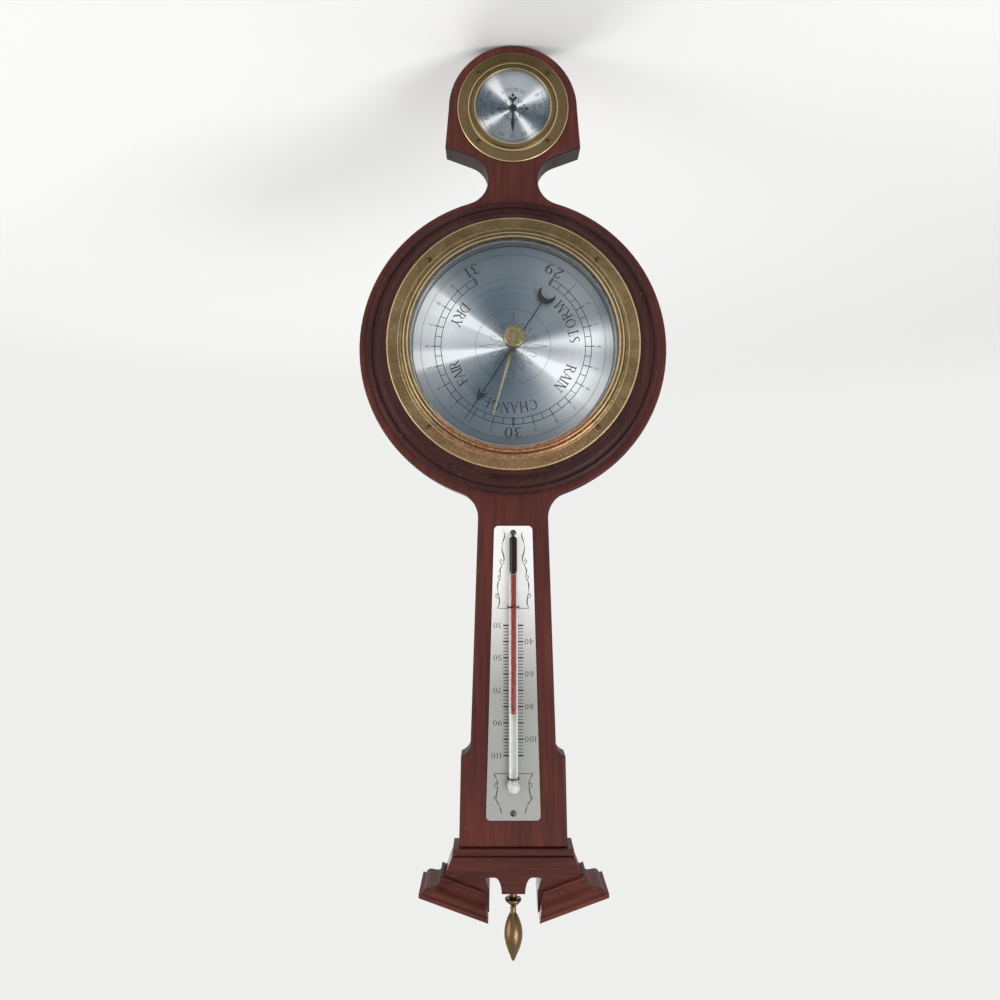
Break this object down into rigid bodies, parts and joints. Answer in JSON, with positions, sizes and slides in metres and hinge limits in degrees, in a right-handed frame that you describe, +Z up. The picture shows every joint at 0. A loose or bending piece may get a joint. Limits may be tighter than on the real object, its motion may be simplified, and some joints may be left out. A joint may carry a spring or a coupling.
{
  "type": "banjo barometer",
  "caption": "Banjo-shaped wooden wall barometer with brass-rimmed dial, thermometer tube in the trunk, small hygrometer below, broken pediment and turned finial.",
  "frame": {"origin": "centre of the hanging hole in the keyhole plate, on the back face that lies on the wall", "axes": "+Z up along the case, +Y into the wall, +X to the viewer's right, so the dials face -Y"},
  "size_m": [0.178, 0.0535, 0.5308],
  "materials": {
    "mahogany": "worn satin polish",
    "dark_mahogany": "satin polish",
    "aged_brass": "aged and spotted",
    "brass": "brushed",
    "steel": "brushed",
    "silvered": "spun",
    "coil_strip": "dull",
    "black_steel": "satin black",
    "glass": "clear",
    "red_spirit": "dyed liquid"
  },
  "bodies": {
    "case": {"case_board": "mahogany", "bed_strip": "mahogany", "pediment_board": "mahogany", "cornice_left": "mahogany", "cornice_right": "mahogany", "cornice_return_left": "mahogany", "cornice_return_right": "mahogany", "dial_ring": "dark_mahogany", "finial": "aged_brass", "barometer_bezel": "aged_brass", "barometer_bezel_screws": "aged_brass", "hygrometer_bezel": "aged_brass", "hygrometer_bezel_screws": "aged_brass", "dial_pillars": "brass", "movement_plate": "brass", "movement_bridge": "brass", "bridge_pillars": "brass", "rocker_brackets": "brass", "humidity_bracket": "brass", "hanger_plate": "brass", "barometer_can": "steel", "movement_screws": "steel", "main_spring": "steel", "hairspring": "steel", "hygrometer_can": "steel", "plate_screws": "steel", "hanger_screws": "steel", "barometer_dial": "silvered", "aneroid_capsule": "silvered", "hygrometer_dial": "silvered", "thermometer_plate": "silvered", "humidity_coil": "coil_strip", "tube_staples": "black_steel", "barometer_glass": "glass", "hygrometer_glass": "glass", "thermometer_tube": "glass", "bulb_spirit": "red_spirit", "spirit_column": "red_spirit"},
    "sector": {"sector_gear": "brass", "sector_arbor": "steel"},
    "pressure_pointer": {"pressure_hand": "black_steel", "hand_arbor": "steel", "hand_pinion": "brass"},
    "rocker_body": {"rocker": "steel"},
    "lever_body": {"capsule_post": "brass", "main_lever": "steel", "connecting_rod": "steel"},
    "adjuster": {"adjusting_screw": "brass"},
    "setter": {"setting_knob": "aged_brass", "setting_hand": "aged_brass"},
    "humidity_pointer": {"humidity_hand": "black_steel", "humidity_arbor": "steel"},
    "spirit": {"spirit_surface": "red_spirit"}
  },
  "joints": [
    {"name": "sector_swing", "type": "hinge", "parent": "case", "child": "sector", "pos_m": [0.012, -0.0165, -0.29191], "axis": [0, 1, 0], "range_deg": [-9.75, 15.25]},
    {"name": "hand_turn", "type": "hinge", "parent": "case", "child": "pressure_pointer", "pos_m": [0, -0.0165, -0.2548], "axis": [0, 1, 0], "range_deg": [-183.1, 117.1]},
    {"name": "rocker_turn", "type": "hinge", "parent": "case", "child": "rocker_body", "pos_m": [0.012, -0.0085, -0.2548], "axis": [0, 0, 1], "range_deg": [-4.9, 7.65]},
    {"name": "lever_lift", "type": "slide", "parent": "case", "child": "lever_body", "axis": [0, -1, 0], "range_m": [-0.00026, 0.0004]},
    {"name": "adjusting_turn", "type": "hinge", "parent": "case", "child": "adjuster", "pos_m": [-0.024, -0.005, -0.2363], "axis": [0, 1, 0], "range_deg": [-180, 180]},
    {"name": "setting_turn", "type": "hinge", "parent": "case", "child": "setter", "pos_m": [0, -0.04, -0.2548], "axis": [0, 1, 0], "continuous": true},
    {"name": "humidity_turn", "type": "hinge", "parent": "case", "child": "humidity_pointer", "pos_m": [0, -0.012, -0.3965], "axis": [0, 1, 0], "range_deg": [-135, 135]},
    {"name": "spirit_rise", "type": "slide", "parent": "case", "child": "spirit", "axis": [0, 0, 1], "range_m": [-0.0496, 0.0239], "deforming": ["spirit_column"]}
  ],
  "couplings": [
    {"joint": "hand_turn", "follows": "sector_swing", "ratio": -12},
    {"joint": "rocker_turn", "follows": "sector_swing", "ratio": 0.5},
    {"joint": "lever_lift", "follows": "sector_swing", "m_per_rad": 0.0015}
  ]
}
